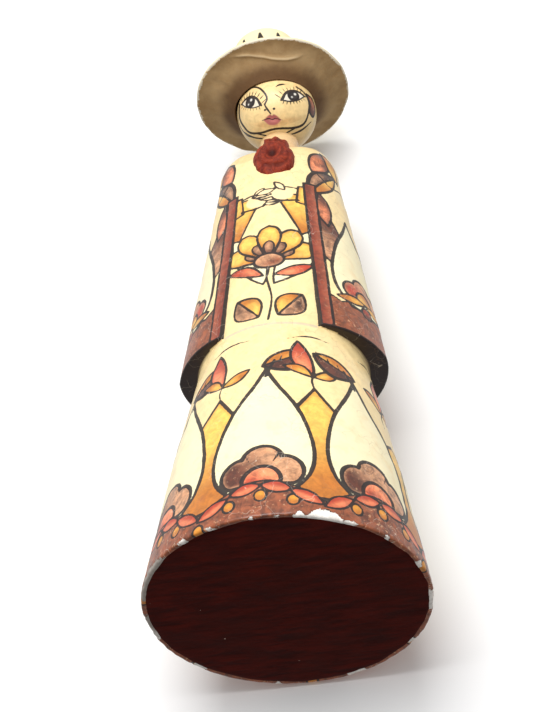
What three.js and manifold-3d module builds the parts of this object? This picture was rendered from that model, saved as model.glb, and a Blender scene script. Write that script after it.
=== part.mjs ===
// A papier-mache figure of a woman in a long bell skirt, an open jacket and a wide-brimmed hat.
// Units are millimetres, +Z is up and the figure's front faces -Y.
// The origin is the centre of the base's underside.
import * as THREE from "three";
import { mergeVertices } from "three/addons/utils/BufferGeometryUtils.js";
import Module from "manifold-3d";

// Overall sizes.
const TOTAL_HEIGHT = 300;
const BASE_RADIUS = 52;
const HEM_Z = 106; // the jacket's hem
const NECK_BASE_Z = 226;
const HEAD_Z = 257; // the head's centre
const HEAD_RADIUS = 17.2;
const LEAN = 1.6; // the head stands this far to the figure's right of the base's centre
const CLEARANCE = 0.3; // between pieces that touch

// Skirt: a cone, a little fuller halfway up.
const BASE_EDGE = 0.8;
const WAIST_RADIUS = 32.4;
const SKIRT_FULLNESS = 0.6;
const SKIRT_RINGS = 7;

// Torso: half its width and half its depth at the chest and at the shoulders.
const CHEST = { z: 180, side: 27.4, front: 26 };
const SHOULDERS = { z: 221, side: 24.1, front: 21 };

// The neck flares into the shoulders, and stands behind the middle so that the chin juts out.
const NECK = { radius: 8.2, setback: 3.4, setbackFrom: 224, setbackTo: 229 };
const NECK_FLARES = [[2.6, 0], [0.7, 1.6], [0, 4]]; // [wider than the neck, above its base]

// The shoulders' top is boxy at the two sides and well rounded at the front and back.
const SHOULDER_WALL = { front: 207, side: 212 }; // where the walls start to turn inwards
const SHOULDER_ROUNDNESS = { front: 2.5, side: 7 };
const SHOULDER_SHARES = [0.985, 0.95, 0.9, 0.82, 0.7, 0.6]; // of the way out from the axis
const WALL_SHARPNESS = 2; // how quickly the form changes from front to side
const ROUNDNESS_SHARPNESS = 4;

// The jacket hangs open at the front and stands off the torso most at its two sides.
const JACKET_TOP_Z = 206;
const JACKET_RINGS = 14;
const HEM_OVERHANG = { side: 8.4, back: 5.2 };
const HEM_EDGE = 0.9;
const FRONT_EDGE = { thickness: 1.4, topZ: 182 };
const OPENING = { hem: 34.5, top: 31 }; // half the opening, in degrees from the front
const SIDE_AZIMUTH = 85;
const BACK_AZIMUTH = 145;

// Columns round half the body, those inside the opening, and the degrees that an edge takes.
const HALF_COLUMNS = 32;
const OPENING_COLUMNS = 8;
const EDGE_DEGREES = 1.2;

const BALL_RINGS = 16; // bands from the ball's bottom to its top, with twice as many columns

// Hat: a shallow dished brim and a tapered crown, both set by height above the head's centre.
const BRIM = { radius: 33.3, thickness: 1.8, rimRise: 11 };
const BRIM_STATIONS = [0, 0.12, 0.3, 0.55, 0.8, 1]; // of the way from the head to the rim
const HAT_TILT = { sideways: 4.9, forwards: 1 }; // degrees, down at the figure's right and front
const HAT_SHIFT = 0.5; // to the figure's right of the head
const BROW_RISE = 2.2; // where the brim meets the forehead, above the head's centre
const CROWN = { baseRadius: 18.4, topRadius: 14, foot: 0.8, edge: 3, edgeSteps: 4, dome: 0.4 };
const CROWN_EDGE_ANGLES = [5, 80]; // where the rounded edge starts and ends
const HAT_COLUMNS = 44;

// Neckerchief: a band round the neck and a crumpled knot on the chest.
const BAND = { radius: 9.3, z: 228.4, halfWidth: 0.8, halfHeight: 2, sides: 8, columns: 32 };
const KNOT = { x: 1.5, y: -19.6, z: 204, taper: 0.16, taperPower: 0.5, tilt: 4 };
const KNOT_HALF = { width: 8.8, depth: 8, height: 11.8 };
const KNOT_HOLLOW = { depth: 0.45, radius: 0.36, up: 0.22 }; // in shares of the knot's half sizes
const KNOT_FOLDS = { count: 5, height: 0.07, twist: 1.2 };
const KNOT_MESH = { columns: 30, rings: 20 };
const TIE = { x: 0.8, y: -12.8, z: 221.8, tilt: 50 };
const TIE_HALF = { width: 5.6, depth: 4.4, length: 11.5 };
const TIE_MESH = { columns: 16, rings: 10 };

const MERGE_DISTANCE = 1e-4; // vertices closer than this are one

const { clamp, degToRad, lerp, radToDeg, smoothstep } = THREE.MathUtils;

// A closed solid of revolution about Z, column 0 at the front. Each outline point is
// [radius, height], from the axis to the axis or round a closed loop.
function turned(outline, columns) {
  const points = outline.map(([radius, height]) => new THREE.Vector2(radius, height));
  return new THREE.LatheGeometry(points, columns).rotateX(Math.PI / 2);
}

// Points on a circle in the [radius, height] plane, angles in degrees above the horizontal.
function arc(centreRadius, centreZ, radius, from, to, steps) {
  const points = [];
  for (let i = 0; i <= steps; i += 1) {
    const angle = degToRad(lerp(from, to, i / steps));
    points.push([centreRadius + radius * Math.cos(angle), centreZ + radius * Math.sin(angle)]);
  }
  return points;
}

const wasm = await Module();
wasm.setup();

function toSolid(geometry) {
  const bare = geometry.clone();
  bare.deleteAttribute("normal");
  bare.deleteAttribute("uv");
  const merged = mergeVertices(bare, MERGE_DISTANCE);
  return new wasm.Manifold(new wasm.Mesh({
    numProp: 3,
    vertProperties: new Float32Array(merged.attributes.position.array),
    triVerts: new Uint32Array(merged.index.array),
  }));
}

function toGeometry(solid) {
  const mesh = solid.getMesh();
  const geometry = new THREE.BufferGeometry();
  geometry.setAttribute("position", new THREE.BufferAttribute(mesh.vertProperties, 3));
  geometry.setIndex(new THREE.BufferAttribute(mesh.triVerts, 1));
  return geometry;
}

function between(pair, azimuth, sharpness) {
  return lerp(pair.front, pair.side, Math.abs(Math.sin(azimuth)) ** sharpness);
}

// The torso's radius without the jacket: an ellipse that narrows in two straight stretches.
function torsoRadius(azimuth, z) {
  const halves = {};
  for (const way of ["side", "front"]) {
    const low = lerp(WAIST_RADIUS, CHEST[way], (z - HEM_Z) / (CHEST.z - HEM_Z));
    const high = lerp(CHEST[way], SHOULDERS[way], (z - CHEST.z) / (SHOULDERS.z - CHEST.z));
    halves[way] = z < CHEST.z ? low : high;
  }
  return 1 / Math.hypot(Math.sin(azimuth) / halves.side, Math.cos(azimuth) / halves.front);
}

// Half the jacket's opening at a height, in degrees.
function openingAt(z) {
  return lerp(OPENING.hem, OPENING.top, clamp((z - HEM_Z) / (FRONT_EDGE.topZ - HEM_Z), 0, 1));
}

// How far the jacket stands off the torso.
function jacketThickness(azimuth, z) {
  const degrees = Math.abs(radToDeg(azimuth));
  const edge = openingAt(z) + EDGE_DEGREES / 2;
  if (degrees < edge) {
    return 0;
  }
  const step = clamp((FRONT_EDGE.topZ - z) / (FRONT_EDGE.topZ - HEM_Z), 0, 1);
  const hang = clamp((JACKET_TOP_Z - z) / (JACKET_TOP_Z - HEM_Z), 0, 1);
  const toSide = clamp((degrees - edge) / (SIDE_AZIMUTH - edge), 0, 1);
  const toBack = smoothstep(degrees, SIDE_AZIMUTH, BACK_AZIMUTH);
  const overhang = lerp(HEM_OVERHANG.side, HEM_OVERHANG.back, toBack) - FRONT_EDGE.thickness;
  return FRONT_EDGE.thickness * step + overhang * toSide * hang;
}

// How far back the body's middle lies at a height.
function setbackAt(z) {
  return NECK.setback * smoothstep(z, NECK.setbackFrom, NECK.setbackTo);
}

// The azimuth of a column at a height. The columns gather into the opening, then into a narrow
// pair at the jacket's edge, and the rest spread evenly to the back.
function columnAzimuth(column, z) {
  const count = Math.abs(column);
  const opening = openingAt(z);
  let degrees = opening * count / OPENING_COLUMNS;
  if (count > OPENING_COLUMNS) {
    const share = (count - OPENING_COLUMNS - 1) / (HALF_COLUMNS - OPENING_COLUMNS - 1);
    degrees = lerp(opening + EDGE_DEGREES, 180, share);
  }
  return Math.sign(column) * degToRad(degrees);
}

// The body's rings from the middle of the underside to the neck's dished top. Each is a function
// from a column to [azimuth, radius, z]. A margin makes the body bigger, for cutting clearance.
function bodyRings(margin) {
  const rings = [];
  const plain = (radius, z) => rings.push((column) => [columnAzimuth(column, z), radius, z]);
  plain(0, -margin);
  plain(BASE_RADIUS - BASE_EDGE, -margin);
  for (let i = 0; i < SKIRT_RINGS; i += 1) {
    const up = i / (SKIRT_RINGS - 1);
    const fullness = SKIRT_FULLNESS * Math.sin(up * Math.PI);
    const z = lerp(BASE_EDGE, HEM_Z - HEM_EDGE / 2, up);
    plain(lerp(BASE_RADIUS, WAIST_RADIUS, up) + fullness + margin, z);
  }
  for (let i = 0; i <= JACKET_RINGS; i += 1) {
    const up = Math.max(i - 1, 0) / (JACKET_RINGS - 1);
    const lift = i === 1 ? HEM_EDGE : 0;
    const inset = i === 0 ? HEM_EDGE : 0;
    rings.push((column) => {
      const azimuth = columnAzimuth(column, lerp(HEM_Z, SHOULDER_WALL.side, up));
      const z = lerp(HEM_Z + lift, between(SHOULDER_WALL, azimuth, WALL_SHARPNESS), up);
      const radius = torsoRadius(azimuth, z) + jacketThickness(azimuth, z);
      return [azimuth, Math.max(radius - inset, WAIST_RADIUS * (1 - up)) + margin, z];
    });
  }
  for (const share of SHOULDER_SHARES) {
    rings.push((column) => {
      const azimuth = columnAzimuth(column, SHOULDERS.z);
      const wall = between(SHOULDER_WALL, azimuth, WALL_SHARPNESS);
      const roundness = between(SHOULDER_ROUNDNESS, azimuth, ROUNDNESS_SHARPNESS);
      const drop = (NECK_BASE_Z - wall) * share ** roundness;
      const radius = torsoRadius(azimuth, wall) * share;
      return [azimuth, radius + margin, NECK_BASE_Z - drop + margin];
    });
  }
  for (const [wider, higher] of NECK_FLARES) {
    plain(NECK.radius + wider + margin, NECK_BASE_Z + higher + margin);
  }
  for (const radius of [NECK.radius + margin, NECK.radius / 2, 0]) {
    rings.push((column) => {
      const azimuth = columnAzimuth(column, SHOULDERS.z);
      const fromHead = Math.hypot(radius * Math.sin(azimuth), NECK.setback - radius * Math.cos(azimuth));
      return [azimuth, radius, HEAD_Z - Math.sqrt((HEAD_RADIUS + CLEARANCE) ** 2 - fromHead ** 2)];
    });
  }
  return rings;
}

// The skirt, torso, jacket, shoulders and neck are moulded in one.
function bodyGeometry(margin) {
  const rings = bodyRings(margin);
  const last = rings.length - 1;
  const outline = rings.map((ring, i) => [i === 0 || i === last ? 0 : 1, i]);
  const geometry = turned(outline, 2 * HALF_COLUMNS);
  const positions = geometry.attributes.position;
  for (let i = 0; i < positions.count; i += 1) {
    const turn = Math.floor(i / rings.length) % (2 * HALF_COLUMNS);
    const column = turn > HALF_COLUMNS ? turn - 2 * HALF_COLUMNS : turn;
    const [azimuth, radius, z] = rings[i % rings.length](column);
    positions.setXYZ(i, radius * Math.sin(azimuth), setbackAt(z) - radius * Math.cos(azimuth), z);
  }
  return geometry;
}

function ballGeometry(radius) {
  const outline = arc(0, 0, radius, -90, 90, BALL_RINGS);
  outline[0][0] = 0;
  outline[BALL_RINGS][0] = 0;
  return turned(outline, 2 * BALL_RINGS);
}

// Brim and crown in one. The head fills the hollow under the crown.
function hatGeometry() {
  const top = TOTAL_HEIGHT - HEAD_Z;
  const rimInset = BRIM.thickness / 2;
  const underside = (radius) => {
    const out = (radius - HEAD_RADIUS) / (BRIM.radius - rimInset - HEAD_RADIUS);
    return lerp(BROW_RISE, BRIM.rimRise, Math.sin(out * Math.PI / 2));
  };
  const outline = [[0, BROW_RISE], [HEAD_RADIUS / 2, BROW_RISE]];
  const radii = BRIM_STATIONS.map((out) => lerp(HEAD_RADIUS, BRIM.radius - rimInset, out));
  for (const radius of radii) {
    outline.push([radius, underside(radius)]);
  }
  outline.push([BRIM.radius, BRIM.rimRise + rimInset]);
  for (const radius of radii.slice(2).reverse()) {
    outline.push([radius, underside(radius) + BRIM.thickness]);
  }
  outline.push([CROWN.baseRadius, underside(CROWN.baseRadius) + BRIM.thickness + CROWN.foot]);
  const edgeRadius = CROWN.topRadius - CROWN.edge;
  outline.push(...arc(edgeRadius, top - CROWN.edge, CROWN.edge, ...CROWN_EDGE_ANGLES, CROWN.edgeSteps));
  outline.push([0, top + CROWN.dome]);
  const whole = turned(outline, HAT_COLUMNS);
  whole.rotateY(degToRad(-HAT_TILT.sideways)).rotateX(degToRad(HAT_TILT.forwards));
  whole.translate(-HAT_SHIFT, 0, 0);
  return toGeometry(toSolid(whole).subtract(toSolid(ballGeometry(HEAD_RADIUS + CLEARANCE))));
}

// The knot: an egg that is narrower at its top, with a hollow in its face and folds round that.
function knotGeometry() {
  const geometry = new THREE.SphereGeometry(1, KNOT_MESH.columns, KNOT_MESH.rings);
  const positions = geometry.attributes.position;
  for (let i = 0; i < positions.count; i += 1) {
    const across = positions.getX(i);
    const out = positions.getZ(i);
    const up = positions.getY(i);
    const fromHollow = Math.hypot(across, up - KNOT_HOLLOW.up);
    const turn = Math.atan2(across, up - KNOT_HOLLOW.up);
    const facing = Math.max(out, 0);
    const hollow = KNOT_HOLLOW.depth * Math.exp(-((fromHollow / KNOT_HOLLOW.radius) ** 2)) * facing;
    const ruffle = KNOT_FOLDS.height * facing * Math.min(fromHollow, 1);
    const fold = 1 + ruffle * Math.cos(KNOT_FOLDS.count * turn + KNOT_FOLDS.twist * fromHollow);
    const narrow = 1 - KNOT.taper * up * Math.abs(up) ** KNOT.taperPower;
    positions.setXYZ(
      i,
      KNOT_HALF.width * across * narrow * fold,
      -KNOT_HALF.depth * (out * fold - hollow),
      KNOT_HALF.height * up * fold,
    );
  }
  geometry.rotateX(degToRad(KNOT.tilt));
  return geometry.translate(KNOT.x, KNOT.y, KNOT.z);
}

// The kerchief's folded ends, from the knot up to the band.
function tieGeometry() {
  const geometry = new THREE.SphereGeometry(1, TIE_MESH.columns, TIE_MESH.rings);
  geometry.scale(TIE_HALF.width, TIE_HALF.depth, TIE_HALF.length);
  return geometry.rotateX(degToRad(-TIE.tilt)).translate(TIE.x, TIE.y, TIE.z);
}

function bandGeometry() {
  const outline = arc(BAND.radius, 0, BAND.halfWidth, 0, 360, BAND.sides);
  const section = outline.map(([radius, rise]) => [radius, rise * BAND.halfHeight / BAND.halfWidth]);
  return turned(section, BAND.columns).translate(0, setbackAt(BAND.z), BAND.z);
}

// Band, folded ends and knot are one piece, cut to lie on the neck and chest.
function neckerchiefGeometry() {
  const loose = toSolid(bandGeometry()).add(toSolid(tieGeometry())).add(toSolid(knotGeometry()));
  return toGeometry(loose.subtract(toSolid(bodyGeometry(CLEARANCE))));
}

const figure = new THREE.Group();

// The figure leans a little, more towards its top.
function addPiece(name, geometry, z, color, roughness) {
  const material = new THREE.MeshStandardMaterial({ color, roughness, metalness: 0 });
  const positions = geometry.translate(0, 0, z).attributes.position;
  for (let i = 0; i < positions.count; i += 1) {
    positions.setX(i, positions.getX(i) - LEAN * (positions.getZ(i) / HEAD_Z) ** 3);
  }
  const piece = new THREE.Mesh(geometry, material);
  piece.name = name;
  figure.add(piece);
}

addPiece("body", bodyGeometry(0), 0, 0xf3dfae, 0.35);
addPiece("head", ballGeometry(HEAD_RADIUS), HEAD_Z, 0xecd09a, 0.4);
addPiece("hat", hatGeometry(), HEAD_Z, 0x96774f, 0.6);
addPiece("neckerchief", neckerchiefGeometry(), 0, 0x8a3524, 0.5);

export default figure;
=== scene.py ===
"""A hand-painted papier-mache figure of a woman in a long skirt, an open jacket, a neckerchief and a hat.

Sizes and places are in millimetres and degrees in the frame's own axes: +Z is up and the figure faces -Y.
An azimuth runs from the front towards +X. Meshes are made in metres.
"""

import math

import bpy
import numpy as np
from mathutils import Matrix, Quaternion, Vector


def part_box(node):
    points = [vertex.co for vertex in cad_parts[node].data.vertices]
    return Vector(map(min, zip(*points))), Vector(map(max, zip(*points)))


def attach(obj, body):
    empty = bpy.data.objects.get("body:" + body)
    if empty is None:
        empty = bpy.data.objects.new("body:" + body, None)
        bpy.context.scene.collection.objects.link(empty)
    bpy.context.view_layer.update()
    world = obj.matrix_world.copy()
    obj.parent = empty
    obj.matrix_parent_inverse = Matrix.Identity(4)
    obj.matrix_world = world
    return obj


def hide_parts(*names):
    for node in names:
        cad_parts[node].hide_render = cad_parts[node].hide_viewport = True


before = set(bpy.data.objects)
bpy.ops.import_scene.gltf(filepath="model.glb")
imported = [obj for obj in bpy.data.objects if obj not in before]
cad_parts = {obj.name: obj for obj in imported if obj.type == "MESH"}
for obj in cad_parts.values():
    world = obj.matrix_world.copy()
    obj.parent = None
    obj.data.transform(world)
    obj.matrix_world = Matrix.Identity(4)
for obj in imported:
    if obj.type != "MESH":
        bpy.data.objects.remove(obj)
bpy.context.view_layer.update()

MM = 0.001
FULL_TURN = 360.0
INSIDE = 0.02  # how far the finer meshes stay within the solids' faceted outline

# The solids' driving sizes.
body_low, body_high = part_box("body")
head_low, head_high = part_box("head")
BASE_RADIUS = (body_high.y - body_low.y) / 2 / MM
HEAD_RADIUS = (head_high.z - head_low.z) / 2 / MM
HEAD_Z = (head_high.z + head_low.z) / 2 / MM
TOTAL_HEIGHT = 300.0
LEAN = 1.6
BASE_EDGE = 0.8
HEM_Z = 106.0
WAIST_RADIUS = 32.4
SKIRT_FULLNESS = 0.6
NECK_BASE_Z = 226.0
NECK_RADIUS, NECK_SETBACK = 8.2, 3.4
SETBACK_FROM, SETBACK_TO = 224.0, 229.0
CHEST_Z, CHEST_SIDE, CHEST_FRONT = 180.0, 27.4, 26.0
SHOULDER_Z, SHOULDER_SIDE, SHOULDER_FRONT = 221.0, 24.1, 21.0
WALL_TOP_FRONT, WALL_TOP_SIDE = 207.0, 212.0
ROUNDNESS_FRONT, ROUNDNESS_SIDE = 2.5, 7.0
JACKET_TOP_Z = 206.0
OVERHANG_SIDE, OVERHANG_BACK = 8.4, 5.2
SIDE_AZIMUTH, BACK_AZIMUTH = 85.0, 145.0
HEM_EDGE = 0.9
FRONT_EDGE_THICKNESS, FRONT_EDGE_TOP_Z = 1.4, 182.0
OPENING_HEM, OPENING_TOP, EDGE_DEGREES = 34.5, 31.0, 1.2
BRIM_RADIUS, BRIM_THICKNESS, RIM_RISE = 33.3, 1.8, 11.0
HAT_TILT_SIDEWAYS, HAT_TILT_FORWARDS, HAT_SHIFT = 4.9, 1.0, 0.5
BROW_RISE = 2.2
CROWN_BASE, CROWN_TOP, CROWN_EDGE = 18.4, 14.0, 3.0
KNOT_PLACE, KNOT_TAPER, KNOT_TILT = (1.5, -19.6, 204.0), 0.16, 4.0
KNOT_HALF = (8.8, 8.0, 11.8)
TIE_PLACE, TIE_HALF, TIE_TILT = (0.8, -12.8, 221.8), (5.6, 4.4, 11.5), 50.0
BAND_RADIUS, BAND_Z, BAND_HALF_WIDTH, BAND_HALF_HEIGHT = 9.3, 228.4, 0.8, 2.0

# Paints, as sRGB values from 0 to 255.
GROUND = (246, 219, 160)
BRIGHT = (247, 234, 190)
OCHRE = (246, 196, 88)
OCHRE_DEEP = (190, 112, 30)
YELLOW = (232, 162, 50)
BROWN = (92, 42, 22)
BROWN_DARK = (50, 20, 12)
BROWN_PALE = (202, 148, 108)
BROWN_WARM = (140, 74, 42)
RUST = (176, 58, 30)
RUST_PALE = (242, 142, 94)
BAND_RED = (128, 48, 24)
SKIN = (250, 220, 168)
INK = (20, 8, 6)
GESSO = (246, 240, 232)
WORN = (120, 108, 96)
# Grey for the front waist joint: grime and painted shade.
WAIST_GRIME_AND_SHADE = (196, 184, 168)
LEDGE = (34, 10, 5)
FACE = (244, 212, 150)
FACE_SHADE = (214, 164, 104)
# Skin colour for the neck, darker than the face as painted shade under the head.
NECK_SHADED_SKIN = (228, 190, 138)
# Dark brown for the hat's underside near the head: stains and painted shade.
HAT_SHADE_AND_STAIN = (84, 50, 20)
HAT_PAINT = (246, 230, 182)
# Near-black red for the painted shade in the neckerchief's folds and hollow.
KERCHIEF_FOLD_SHADE = (46, 9, 6)


# ---- small helpers ----


def lerp(a, b, t):
    return a + (b - a) * t


def smoothstep(x, low, high):
    t = np.clip((np.asarray(x, float) - low) / (high - low), 0, 1)
    return t * t * (3 - 2 * t)


def linear(colour):
    """An sRGB colour, 0 to 255, as linear values from 0 to 1."""
    c = np.asarray(colour, float) / 255
    return np.where(c <= 0.04045, c / 12.92, ((c + 0.055) / 1.055) ** 2.4)


def lumps(points, size, seed, waves=18):
    """A smooth random height from about -1 to 1, with bumps about as wide as size."""
    random = np.random.default_rng(seed)
    way = random.normal(size=(waves, 3))
    way *= (2 * math.pi / size) * random.uniform(0.6, 1.4, (waves, 1)) / np.linalg.norm(way, axis=1)[:, None]
    phase = random.uniform(0, 2 * math.pi, waves)
    return np.cos(points @ way.T + phase).sum(-1) / math.sqrt(2 * waves)


def wrapped(degrees):
    return (degrees + FULL_TURN / 2) % FULL_TURN - FULL_TURN / 2


# ---- the solids' forms ----


def between(front, side, azimuth, sharpness):
    return lerp(front, side, np.abs(np.sin(np.radians(azimuth))) ** sharpness)


def torso_radius(azimuth, z):
    low = (z - HEM_Z) / (CHEST_Z - HEM_Z)
    high = (z - CHEST_Z) / (SHOULDER_Z - CHEST_Z)
    side = np.where(z < CHEST_Z, lerp(WAIST_RADIUS, CHEST_SIDE, low), lerp(CHEST_SIDE, SHOULDER_SIDE, high))
    front = np.where(
        z < CHEST_Z, lerp(WAIST_RADIUS, CHEST_FRONT, low), lerp(CHEST_FRONT, SHOULDER_FRONT, high)
    )
    turn = np.radians(azimuth)
    return 1 / np.hypot(np.sin(turn) / side, np.cos(turn) / front)


def opening_at(z):
    """Half the jacket's opening."""
    return lerp(OPENING_HEM, OPENING_TOP, np.clip((z - HEM_Z) / (FRONT_EDGE_TOP_Z - HEM_Z), 0, 1))


def jacket_thickness(azimuth, z):
    """How far the jacket stands off the torso."""
    degrees = np.abs(wrapped(azimuth))
    opening = opening_at(z)
    edge = opening + EDGE_DEGREES / 2
    step = np.clip((FRONT_EDGE_TOP_Z - z) / (FRONT_EDGE_TOP_Z - HEM_Z), 0, 1)
    hang = np.clip((JACKET_TOP_Z - z) / (JACKET_TOP_Z - HEM_Z), 0, 1)
    to_side = np.clip((degrees - edge) / (SIDE_AZIMUTH - edge), 0, 1)
    overhang = lerp(OVERHANG_SIDE, OVERHANG_BACK, smoothstep(degrees, SIDE_AZIMUTH, BACK_AZIMUTH))
    full = FRONT_EDGE_THICKNESS * step + (overhang - FRONT_EDGE_THICKNESS) * to_side * hang
    return full * smoothstep(degrees, opening, opening + EDGE_DEGREES)


def leaned(points):
    """The figure leans a little to its right, more towards its top."""
    moved = np.array(points, float)
    moved[..., 0] -= LEAN * (moved[..., 2] / HEAD_Z) ** 3
    return moved


def setback_at(z):
    """How far back the body's middle lies."""
    return NECK_SETBACK * smoothstep(z, SETBACK_FROM, SETBACK_TO)


def around(azimuth, radius, z):
    """Points in space from azimuth, radius and height."""
    turn = np.radians(azimuth)
    azimuth, radius, z = np.broadcast_arrays(turn, radius, z)
    return np.stack([radius * np.sin(azimuth), -radius * np.cos(azimuth), z], -1)


# ---- meshes ----


def mesh_piece(name, points, faces, attributes=None):
    """A mesh of points in millimetres, riding on the figure, with its painted values on the vertices."""
    mesh = bpy.data.meshes.new(name)
    mesh.from_pydata((points * MM).tolist(), [], faces)
    mesh.shade_smooth()
    for key, values in (attributes or {}).items():
        if values.ndim == 2:
            layer = mesh.attributes.new(key, "FLOAT_COLOR", "POINT")
            rgba = np.concatenate([values, np.ones((len(values), 1))], 1)
            layer.data.foreach_set("color", rgba.astype(np.float32).ravel())
        else:
            layer = mesh.attributes.new(key, "FLOAT", "POINT")
            layer.data.foreach_set("value", values.astype(np.float32))
    piece = bpy.data.objects.new(name, mesh)
    bpy.context.scene.collection.objects.link(piece)
    return piece


def grid_faces(rows, columns, first_pole=None, last_pole=None, start=0):
    """Quads of a grid that closes on itself round its columns, with a fan to a pole at either end."""
    index = start + np.arange(rows * columns).reshape(rows, columns)
    following = np.roll(index, -1, 1)
    quads = np.stack([index[:-1], following[:-1], following[1:], index[1:]], -1).reshape(-1, 4)
    faces = quads.tolist()
    if first_pole is not None:
        faces += [[first_pole, b, a] for a, b in zip(index[0].tolist(), following[0].tolist())]
    if last_pole is not None:
        faces += [[last_pole, a, b] for a, b in zip(index[-1].tolist(), following[-1].tolist())]
    return faces


# ---- outlines, in millimetres, with y up the surface ----


def spline(points, steps=7):
    """A smooth open curve through the points."""
    p = np.asarray(points, float)
    p = np.concatenate([2 * p[:1] - p[1:2], p, 2 * p[-1:] - p[-2:-1]])
    t = np.linspace(0, 1, steps, endpoint=False)[:, None]
    out = []
    for a, b, c, d in zip(p[:-3], p[1:-2], p[2:-1], p[3:]):
        out.append(
            0.5 * (2 * b + (c - a) * t + (2 * a - 5 * b + 4 * c - d) * t**2 + (3 * b - a - 3 * c + d) * t**3)
        )
    return np.concatenate([*out, p[-2:-1]])


def mirrored(side):
    """A closed outline from its left side, bottom to top."""
    return np.concatenate([side, (side * (-1, 1))[::-1]])


def leaf(length, width, bend=0.0, steps=16):
    """Pointed at both ends, standing on its lower tip."""
    t = np.linspace(0, 1, steps)
    half = width / 2 * np.sin(math.pi * t) ** 0.85
    spine = bend * np.sin(math.pi * t)
    left = np.stack([spine - half, length * t], 1)
    right = np.stack([spine + half, length * t], 1)
    return np.concatenate([left, right[::-1]])


def oval(width, height, steps=28):
    turn = np.linspace(0, 2 * math.pi, steps, endpoint=False)
    return np.stack([width / 2 * np.sin(turn), height / 2 * np.cos(turn)], 1)


def arch(width, height):
    """A broad petal drawn out to a point at its top."""
    side = spline([(-0.30, 0), (-0.47, 0.14), (-0.5, 0.34), (-0.36, 0.62), (-0.12, 0.86), (0, 1)])
    return mirrored(side * (width, height))


def drop(width, height):
    side = spline([(0, 0), (-0.36, 0.1), (-0.5, 0.34), (-0.28, 0.7), (0, 1)])
    return mirrored(side * (width, height))


def blossom(radius, lobes, depth=0.2, low=-20.0, high=200.0, steps=64):
    """A flower's upper part: its edge is a row of round lobes, and it is closed across below."""
    t = np.linspace(0, 1, steps)
    turn = np.radians(lerp(low, high, t))
    reach = radius * (1 - depth + depth * np.abs(np.sin(math.pi * lobes * t)) ** 0.7)
    return np.stack([-reach * np.cos(turn), reach * np.sin(turn)], 1)


def signed_distance(outline, x, y, closed=True):
    """How far each point lies from an outline, negative inside a closed one."""
    ends = np.roll(outline, -1, 0) if closed else outline[1:]
    best = np.full(x.shape, 1e9)
    inside = np.zeros(x.shape, bool)
    for (ax, ay), (bx, by) in zip(outline, ends):
        dx, dy = bx - ax, by - ay
        along = np.clip(((x - ax) * dx + (y - ay) * dy) / max(dx * dx + dy * dy, 1e-12), 0, 1)
        best = np.minimum(best, (x - ax - along * dx) ** 2 + (y - ay - along * dy) ** 2)
        if dy:
            inside ^= ((ay > y) != (by > y)) & (x < ax + (y - ay) * dx / dy)
    distance = np.sqrt(best)
    return np.where(inside, -distance, distance) if closed else distance


# ---- paint ----


class Canvas:
    """Paint on a surface's points: a colour, how far the nearest ink line is, and how uneven the wash is."""

    SOFT = 0.5  # width of a colour's edge, under its ink line
    RIM = 2.2  # width of the darker paint inside a shaded motif's edge
    FAR = 6.0

    def __init__(self, azimuth, height, radius, ground, wash=0.15):
        self.azimuth, self.height, self.radius = azimuth, height, radius
        self.colour = np.tile(linear(ground), (azimuth.size, 1))
        self.ink = np.full(azimuth.size, self.FAR)
        self.wash = np.full(azimuth.size, wash)

    def near(self, outline, place, turn, flip):
        """The points round a motif, and their coordinates in it."""
        reach = np.abs(outline).max() * 1.5 + self.FAR
        azimuth, height = place
        x = np.radians(wrapped(self.azimuth - azimuth)) * self.radius * flip
        y = self.height - height
        found = np.nonzero((np.abs(x) < reach) & (np.abs(y) < reach))[0]
        c, s = math.cos(math.radians(turn)), math.sin(math.radians(turn))
        x, y = x[found], y[found]
        return found, x * c + y * s, y * c - x * s

    def lay(self, found, distance, colour, wash, line):
        cover = np.clip(0.5 - distance / self.SOFT, 0, 1)
        if colour is not None:
            self.colour[found] = lerp(self.colour[found], colour, cover[:, None])
            self.wash[found] = lerp(self.wash[found], wash, cover)
            self.ink[found] = np.maximum(self.ink[found], -distance)
        if line:
            self.ink[found] = np.minimum(self.ink[found], np.abs(distance) - line / 2)

    def fill(
        self, outline, place, light, dark=None, toward=90.0, turn=0.0, flip=1, wash=0.4, line=1.0, share=0.5
    ):
        """Fills an outline with paint that turns from light to dark toward a direction, and inks its edge."""
        found, x, y = self.near(outline, place, turn, flip)
        distance = signed_distance(outline, x, y)
        colour = None
        if light is not None:
            c, s = math.cos(math.radians(toward)), math.sin(math.radians(toward))
            along = x * c + y * s
            span = outline @ (c, s)
            t = smoothstep(
                along, lerp(span.min(), span.max(), share - 0.3), lerp(span.min(), span.max(), share + 0.3)
            )
            colour = lerp(linear(light), linear(light if dark is None else dark), t[:, None])
            if dark is not None:
                rim = 0.55 * (1 - smoothstep(-distance, self.RIM * 0.3, self.RIM))
                colour = lerp(colour, linear(dark), rim[:, None])
        self.lay(found, distance, colour, wash, line)

    def stroke(self, points, place, width=0.8, turn=0.0, flip=1, taper=0.0):
        """An ink line, thinner towards both ends by the share taper."""
        points = np.asarray(points, float)
        found, x, y = self.near(points, place, turn, flip)
        distance = signed_distance(points, x, y, closed=False)
        half = np.full(distance.shape, width / 2)
        if taper:
            first = np.hypot(x - points[0][0], y - points[0][1])
            last = np.hypot(x - points[-1][0], y - points[-1][1])
            size = np.linalg.norm(np.diff(points, axis=0), axis=1).sum()
            half *= 1 - taper * (1 - smoothstep(np.minimum(first, last), 0, size * 0.45))
        self.ink[found] = np.minimum(self.ink[found], distance - half)

    def attributes(self):
        return {"paint": self.colour, "ink": self.ink, "wash": self.wash}


# ---- materials ----


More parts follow.
